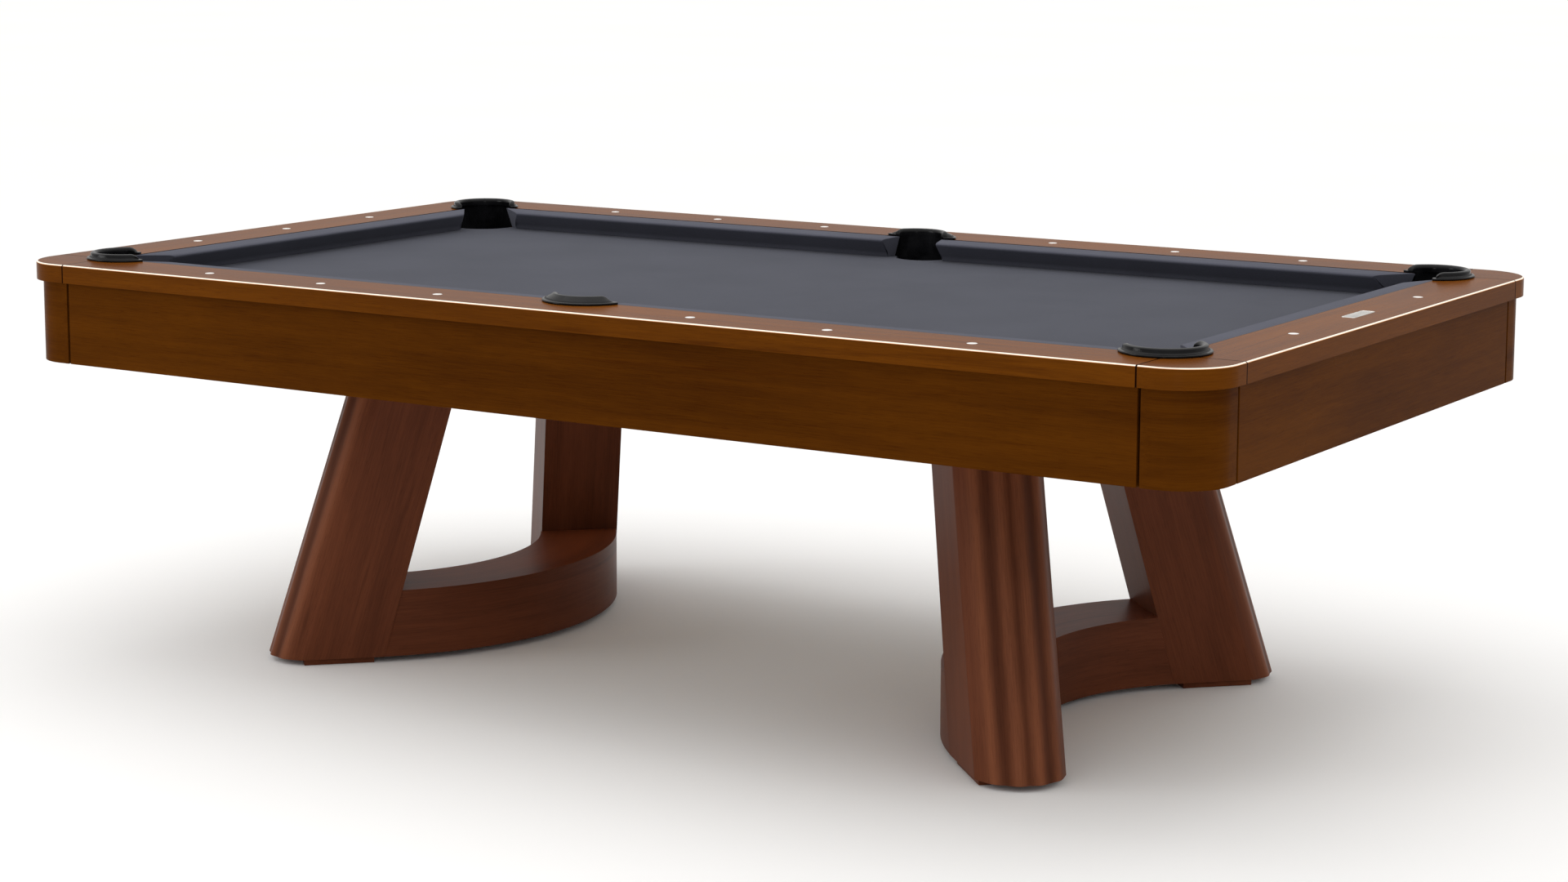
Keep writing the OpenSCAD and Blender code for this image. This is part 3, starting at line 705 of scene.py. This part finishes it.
def all_cushions():
    """Two cushions on each long rail and one on each end rail."""
    for name, (sx, sy) in QUARTERS.items():
        def place(s, d, z, sx=sx, sy=sy):
            return (sx * s, sy * (WOOD_Y - d), BED + z)
        cushion("cushion_" + name, place, (SIDE_TIP, CORNER_TIP_X), (SIDE_CUT, CORNER_CUT),
                "cushion_cloth_" + name)
    for name, sx in (("left", -1), ("right", 1)):
        def place(s, d, z, sx=sx):
            return (sx * (WOOD_X - d), s, BED + z)
        cushion("cushion_" + name, place, (-CORNER_TIP_Y, CORNER_TIP_Y), (CORNER_CUT, CORNER_CUT),
                "cushion_cloth_" + name)


# ---- bed cloth ----

CLOTH_T = 1 * MM
TURN_R = 2.5 * MM
TURN_DOWN = 21 * MM
# insets and drops of the rings of points, from the middle of the bed out and down
BED_RINGS = [(14 * MM, 0), (6 * MM, 0), *quarter_turn(TURN_R), (0, 10 * MM), (0, TURN_DOWN)]


def bed_outline(inset):
    """Plan of the cloth with its six pocket cuts, a little way in from its edge."""
    x, y = SLATE_X - inset, SLATE_Y - inset
    r = CORNER_NOTCH_R - CLOTH_T + inset
    ax = math.degrees(math.asin((x - CORNER_C.x) / r))
    ay = math.degrees(math.asin((y - CORNER_C.y) / r))
    corner = arc(CORNER_C.x, CORNER_C.y, r, 270 + ax, 180 - ay, 40)
    r = SIDE_NOTCH_R - CLOTH_T + inset
    side = math.degrees(math.asin((y - SIDE_NOTCH_C.y) / r))
    notch = arc(0, SIDE_NOTCH_C.y, r, 360 + side, 180 - side, 48)
    top = corner + notch + [(-px, py) for px, py in reversed(corner)]
    return top + [(-px, -py) for px, py in top]


def bed():
    """The cloth over the slates, with its edges turned down at the sides and in the pockets."""
    verts = [(px, py, BED - drop) for inset, drop in BED_RINGS for px, py in bed_outline(inset)]
    n = len(verts) // len(BED_RINGS)
    faces = [tuple(range(n))] + grid_faces(len(BED_RINGS), n, closed=True)
    o = make("bed_felt", verts, faces, CLOTH["bed"], sharp_angle=60)
    if o.data.polygons[0].normal.z < 0:
        o.data.flip_normals()
    stand_in(o, "bed_cloth")


# ---- pocket rims ----

PLATE = 4.5 * MM
SKIRT_T = 4 * MM
RIB_PITCH = 2.6 * MM
RIB_DEPTH = 0.5 * MM
# a rib takes four steps round the rim, and ribs stop where the roll has sunk to this share
RIB_STEPS = 4
RIB_STOP = 0.6
# the roll runs down to the plate over ROLL_END, and the last ROLL_START is plate alone
ROLL_START = 7 * MM
ROLL_END = 17 * MM
# over its last INNER_RUN a rim's inner side turns out by INNER_CUT, and OUTER_CUT rounds its outer corner
INNER_CUT, INNER_RUN = 6 * MM, 9 * MM
OUTER_CUT = 5 * MM
# the plate thins to a rounded edge over its last EDGE_RUN, and EDGE_MIN keeps it from ending in nothing
EDGE_RUN, EDGE_MIN = 1.6 * MM, 0.3 * MM
LINER_STEPS = 64
LINER_SOFT = 0.8 * MM


def rim_profile(width):
    """Closed outline of a rim: out from its inner wall, up from the rail, and its share of rib relief.
    Its figures are millimetres."""
    w = width / MM
    shelf = w - 9.5
    top = [(0.0, 0.4, 0.0), (0.0, 4.0, 0.0)]
    top += [(x, z, 0.0) for x, z in arc(7, 8, 7, 180, 50, 12)]
    top += [(x, z, rib) for x, z, rib in (
        (12.4, 12.4, 0.0), (shelf + 1.4, 7.6, 0.0), (shelf + 2.0, 6.9, 1.0), (shelf + 3.8, 5.9, 1.0),
        (shelf + 4.4, 5.0, 0.3), (shelf + 5.0, 4.6, 0.0))]
    top += [(x, z, 0.0) for x, z in arc(w - 2.25, 2.25, 2.25, 90, -75, 7)]
    top += [(w - 5.0, 0.3, 0.0), (6.0, 0.3, 0.0), (4.4, 0.3, 0.0)]
    return [(x * MM, z * MM, rib) for x, z, rib in top]


def bow(share):
    """A quarter circle's rise from 0 to 1."""
    return math.sqrt(1 - (1 - min(1.0, max(0.0, share))) ** 2)


def rim(name, centre, heading, inner_r, width, rim_arc, node):
    """A moulded pocket rim. Heading is the way out of the table, in degrees."""
    profile = rim_profile(width)
    mean_r = inner_r + width / 2
    half = math.radians(rim_arc / 2)
    steps = int(mean_r * 2 * half / RIB_PITCH) * RIB_STEPS
    verts = []
    for k in range(steps + 1):
        t = -half + 2 * half * k / steps
        rib_side = 0.5 if k % RIB_STEPS in (1, 2) else -0.5
        to_end = (half - abs(t)) * mean_r
        rise = bow((to_end - ROLL_START) / ROLL_END)
        thin = bow((to_end + EDGE_MIN) / EDGE_RUN)
        cut = max(0.0, 1 - to_end / INNER_RUN)
        corner = 1 - bow(to_end / OUTER_CUT)
        turn = math.radians(heading) + t
        for x, z, rib in profile:
            flat = min(z, PLATE)
            zz = flat + (z - flat) * rise
            zz = PLATE / 2 + (zz - PLATE / 2) * thin
            if rib and rise > RIB_STOP:
                zz += rib_side * RIB_DEPTH * rib
            inner, outer = INNER_CUT * cut, width - OUTER_CUT * corner
            r = inner_r + inner + (outer - inner) * x / width
            verts.append((centre.x + r * math.cos(turn), centre.y + r * math.sin(turn), RAIL_TOP + zz))
    cols = len(profile)
    faces = grid_faces(steps + 1, cols, closed=True) + end_faces(steps + 1, cols)
    stand_in(make(name, verts, faces, BLACK, sharp_angle=55), node)


def liner(name, centre, heading, inner_r, liner_arc):
    """The wall that hangs from a rim down past the slate."""
    half = math.radians(liner_arc / 2)
    bottom, top = SLATE_BOTTOM + 1 * MM, RAIL_TOP + 2 * MM
    r0, r1 = inner_r + 0.5 * MM, inner_r + SKIRT_T - 0.1 * MM
    section = [(r0, top), (r0, bottom + LINER_SOFT), (r0 + LINER_SOFT, bottom),
               (r1 - LINER_SOFT, bottom), (r1, bottom + LINER_SOFT), (r1, top)]
    verts = []
    for k in range(LINER_STEPS + 1):
        turn = math.radians(heading) - half + 2 * half * k / LINER_STEPS
        verts += [(centre.x + r * math.cos(turn), centre.y + r * math.sin(turn), z) for r, z in section]
    cols = len(section)
    faces = grid_faces(LINER_STEPS + 1, cols, closed=True) + end_faces(LINER_STEPS + 1, cols)
    o = make(name, verts, faces, BLACK, sharp_angle=40)
    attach(o, "table")


def all_rims():
    """A rim and its liner for each of the six pockets."""
    for name, (sx, sy) in QUARTERS.items():
        heading = math.degrees(math.atan2(sy, sx))
        pocket = Vector((sx * CORNER_C.x, sy * CORNER_C.y, 0))
        set_in = Vector((sx, sy, 0)).normalized() * CORNER_RIM_SET
        rim("rim_" + name, pocket - set_in, heading, CORNER_POCKET_R, CORNER_RIM_W, CORNER_RIM_ARC,
            "pocket_rim_" + name)
        liner("liner_" + name, pocket, heading, CORNER_POCKET_R, CORNER_LINER_ARC)
    for name, sy in (("front", -1), ("back", 1)):
        pocket = Vector((0, sy * SIDE_C.y, 0))
        rim("rim_side_" + name, pocket, 90 * sy, SIDE_POCKET_R, SIDE_RIM_W, SIDE_RIM_ARC,
            "pocket_rim_side_" + name)
        liner("liner_side_" + name, pocket, 90 * sy, SIDE_POCKET_R, SIDE_LINER_ARC)


# ---- sights and nameplate ----

# outlines in millimetres, out from the axis or in from the edge, and up from the rail
SIGHT_OUTLINE = [(0, 0.85), (3, 0.80), (6, 0.60), (8, 0.30), (8.9, 0.0), (9.3, -0.5), (9.3, -2.4),
                 (0, -2.4)]
PIN_OUTLINE = [(0, 1.5), (0.8, 1.4), (1.5, 1.0), (1.9, 0.6), (1.9, 0.3), (0, 0.3)]
PLATE_STEPS = [(0, 0), (0, 0.6), (0.3, 0.9), (1.5, 0.95), (1.9, 0.55), (2.6, 0.5)]
PIN_INSET = 7 * MM


def lathe(places, outline, n):
    """Turned discs at places. The outline runs from the axis outwards and back to the axis."""
    profile = [(r * MM, z * MM) for r, z in outline]
    verts, faces = [], []
    for c in places:
        base = len(verts)
        inner = profile[1:-1]
        verts.append((c.x, c.y, c.z + profile[0][1]))
        for r, z in inner:
            for k in range(n):
                a = 2 * math.pi * k / n
                verts.append((c.x + r * math.cos(a), c.y + r * math.sin(a), c.z + z))
        verts.append((c.x, c.y, c.z + profile[-1][1]))
        last = len(verts) - 1
        for k in range(n):
            m = (k + 1) % n
            faces.append((base, base + 1 + k, base + 1 + m))
            for i in range(len(inner) - 1):
                a, b = base + 1 + i * n, base + 1 + (i + 1) * n
                faces.append((a + k, b + k, b + m, a + m))
            end = base + 1 + (len(inner) - 1) * n
            faces.append((end + k, last, end + m))
    return verts, faces


def sights():
    """Three sights to each half of a long rail, three on the left end and two beside the plate."""
    pitch = NOSE_Y / 2
    mid_y, mid_x = (WOOD_Y + OUT_Y) / 2, (WOOD_X + OUT_X) / 2
    places = [Vector((sx * i * pitch, sy * mid_y, RAIL_TOP))
              for sx in (-1, 1) for sy in (-1, 1) for i in (1, 2, 3)]
    places += [Vector((sx * mid_x, i * pitch, RAIL_TOP)) for sx in (-1, 1) for i in (-1, 1)]
    places.append(Vector((-mid_x, 0, RAIL_TOP)))
    verts, faces = lathe(places, SIGHT_OUTLINE, 40)
    stand_in(make("sight_inlays", verts, faces, pearl("pearl"), sharp_angle=40), "sights")


PLATE_HALF = Vector((13 * MM, 48 * MM))
PLATE_CORNER = 5 * MM


def plate_ring(inset, z):
    """A rounded rectangle round the nameplate's middle, inset from its edge."""
    c = Vector(((WOOD_X + OUT_X) / 2, 0))
    r = max(PLATE_CORNER - inset, 0.4 * MM)
    w, h = PLATE_HALF.x - inset - r, PLATE_HALF.y - inset - r
    ring = []
    for sx, sy, a in ((1, 1, 0), (-1, 1, 90), (-1, -1, 180), (1, -1, 270)):
        ring += [(c.x + x, c.y + y, RAIL_TOP + z) for x, y in arc(sx * w, sy * h, r, a, a + 90, 6)]
    return ring


def nameplate():
    """A blank plate with a raised border, held by two round-headed pins."""
    rings = [plate_ring(i * MM, z * MM) for i, z in PLATE_STEPS]
    verts = [p for ring in rings for p in ring]
    n = len(rings[0])
    faces = [tuple(reversed(f)) for f in grid_faces(len(rings), n, closed=True)]
    faces += end_faces(len(rings), n)
    metal = brushed_metal("plate_metal", (0.80, 0.78, 0.74, 1), (0, 1, 0), 0.26)
    o = make("blank_plate", verts, faces, metal, sharp_angle=45)
    stand_in(o, "nameplate")
    x = (WOOD_X + OUT_X) / 2
    places = [Vector((x, sy * (PLATE_HALF.y - PIN_INSET), RAIL_TOP)) for sy in (-1, 1)]
    verts, faces = lathe(places, PIN_OUTLINE, 20)
    pins = make("plate_pins", verts, faces, zinc_steel("pin_steel"), sharp_angle=50)
    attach(pins, "table")


# ---- CAD nodes kept, with their materials and painted light ----


def lean_of(sx, sy):
    """The way up along a leg."""
    return Vector((-sx * math.sin(LEG_LEAN), -sy * math.sin(LEG_LEAN), math.sqrt(2) * math.cos(LEG_LEAN)))


def dress_nodes():
    """Gives every CAD node that stays its rounded edges and its material."""
    along = {"front": (1, 0, 0), "back": (1, 0, 0), "left": (0, 1, 0), "right": (0, 1, 0)}
    for i, (side, way) in enumerate(along.items()):
        soften("rail_" + side, 0.6 * MM)
        paint("rail_" + side, wood("rail_wood_" + side, straight_grain(way), RAIL_LOOK, i + 1, highlight_shade_and_pocket_paint))
        soften("apron_" + side, 1.2 * MM)
        paint("apron_" + side, wood("apron_wood_" + side, straight_grain(way), APRON_LOOK, i + 11))
    for i, (name, (sx, sy)) in enumerate(QUARTERS.items()):
        c = (sx * BLOCK_C.x, sy * BLOCK_C.y, 0)
        soften("corner_block_" + name, 0.6 * MM)
        paint("corner_block_" + name,
              wood("block_wood_" + name, block_grain(c, CORNER_R), RAIL_LOOK, i + 21, highlight_shade_and_pocket_paint))
        soften("apron_corner_" + name, 1.2 * MM)
        paint("apron_corner_" + name,
              wood("bent_apron_wood_" + name, bent_grain(c, CORNER_R), APRON_LOOK, i + 31))
        soften("leg_" + name, 2.0 * MM, 3, 50)
        paint("leg_" + name, wood("leg_wood_" + name, straight_grain(lean_of(sx, sy), (sx, sy, 0)),
                                  LEG_LOOK, i + 41, flute_light_and_shade(sx, sy)))
        soften("foot_pad_" + name, 1.2 * MM)
        paint("foot_pad_" + name, wood("pad_wood_" + name, straight_grain((sx, -sy, 0)), LEG_LOOK, i + 51))
    for i, (side, sx) in enumerate((("left", -1), ("right", 1))):
        soften("stretcher_" + side, 1.6 * MM)
        paint("stretcher_" + side,
              wood("ring_wood_" + side, bent_grain((sx * RING_C.x, 0, 0), RING_R), LEG_LOOK, i + 61,
                   lighter_top))
    pine = {
        "frame_long_beams": (1, 0, 0), "frame_end_beams": (0, 1, 0),
        "frame_joists": (0, 1, 0), "leg_boards": (0, 1, 0),
    }
    for i, (node, way) in enumerate(pine.items()):
        soften(node, 1.5 * MM, 1)
        paint(node, wood(node + "_pine", straight_grain(way), PINE_LOOK, i + 71))
    soften("feather_strips", 0)
    paint("feather_strips", wood("strip_wood", straight_grain((1, 0, 0)), PINE_LOOK, 81))
    slate = honed_slate("slate")
    for node in ("slate_left", "slate_centre", "slate_right"):
        soften(node, 0.8 * MM, 1)
        paint(node, slate)
    soften("cushion_rubbers", 0)
    paint("cushion_rubbers", gum_rubber("gum_rubber"))
    soften("pocket_buckets", 1.2 * MM)
    paint("pocket_buckets", BLACK)
    zinc = zinc_steel("zinc")
    steel_nodes = ["rail_bolts", "base_bolts", "slate_screws", "rail_and_apron_brackets",
                   "leveller_inserts"]
    steel_nodes += ["leveller_screw_" + name for name in QUARTERS]
    for node in steel_nodes:
        soften(node, 0.5 * MM, 1)
        paint(node, zinc)


# ---- room, light and camera ----

CAMERA_AT = (3.3672, -5.2357, 1.5682)
CAMERA_TURN = math.radians(33.506)
CAMERA_RAISE = math.radians(8.525)
CAMERA_LENS = 73.526
CAMERA_SHIFT = (0.0391, -0.0573)
SKY_COLOUR = (1.0, 0.99, 0.975, 1)
SKY_LOW, SKY_HIGH = 0.45, 1.45
FLOOR_SIZE = 160


def room():
    """A pale floor under a sky that is brighter overhead than at the horizon."""
    world = bpy.data.worlds.new("studio")
    bpy.context.scene.world = world
    world.use_nodes = True
    tree = world.node_tree
    sky = tree.nodes["Background"]
    sky.inputs["Color"].default_value = SKY_COLOUR
    way = tree.nodes.new("ShaderNodeTexCoord")
    parts = tree.nodes.new("ShaderNodeSeparateXYZ")
    glow = tree.nodes.new("ShaderNodeMapRange")
    tree.links.new(way.outputs["Generated"], parts.inputs[0])
    tree.links.new(parts.outputs[2], glow.inputs["Value"])
    glow.inputs["To Min"].default_value = SKY_LOW
    glow.inputs["To Max"].default_value = SKY_HIGH
    tree.links.new(glow.outputs[0], sky.inputs["Strength"])
    h = FLOOR_SIZE / 2
    verts = [(-h, -h, 0), (h, -h, 0), (h, h, 0), (-h, h, 0)]
    floor = make("floor", verts, [(0, 1, 2, 3)], pale_floor("pale_floor"), smooth=False)


def softbox(name, at, target, size, power):
    """A rectangular area light that faces its target."""
    light = bpy.data.lights.new(name, "AREA")
    light.shape = "RECTANGLE"
    light.size, light.size_y = size
    light.energy = power
    o = bpy.data.objects.new(name, light)
    o.location = at
    o.rotation_mode = "QUATERNION"
    o.rotation_quaternion = (Vector(target) - Vector(at)).to_track_quat("-Z", "Y")
    bpy.context.scene.collection.objects.link(o)


def lights():
    softbox("overhead", at=(0, 0.3, 3.4), target=(0, 0, 0), size=(4.5, 3.0), power=20)
    softbox("left_front", at=(-4.5, -4.0, 2.2), target=(0, 0, 0.5), size=(2.2, 2.2), power=50)
    softbox("low_right", at=(3.2, -5.6, 0.9), target=(0.8, -0.4, 0.4), size=(0.7, 1.5), power=14)


def camera():
    """The photograph's camera, as fitted to corners of the table."""
    data = bpy.data.cameras.new("camera")
    data.lens = CAMERA_LENS
    data.sensor_width = 36
    data.shift_x, data.shift_y = CAMERA_SHIFT
    data.clip_start, data.clip_end = 0.05, 200
    o = bpy.data.objects.new("camera", data)
    flat = math.cos(CAMERA_RAISE)
    back = Vector((math.sin(CAMERA_TURN) * flat, -math.cos(CAMERA_TURN) * flat, math.sin(CAMERA_RAISE)))
    o.location = CAMERA_AT
    o.rotation_mode = "QUATERNION"
    o.rotation_quaternion = (-back).to_track_quat("-Z", "Y")
    bpy.context.scene.collection.objects.link(o)
    bpy.context.scene.camera = o


# ---- the table ----

bpy.context.scene.view_settings.view_transform = "Standard"
BED_FELT = (0.050, 0.052, 0.065, 1)
# the cushions have the same cloth as the bed; their copy is made lighter, which is painted light
CUSHION_FELT_LIT = (0.066, 0.068, 0.088, 1)
CLOTH = {"bed": felt("bed_felt_cloth", BED_FELT), "cushion": felt("cushion_felt_cloth", CUSHION_FELT_LIT)}
BLACK = moulded_black("pocket_black")

camera()
room()
lights()
dress_nodes()
all_cushions()
bed()
all_rims()
sights()
nameplate()
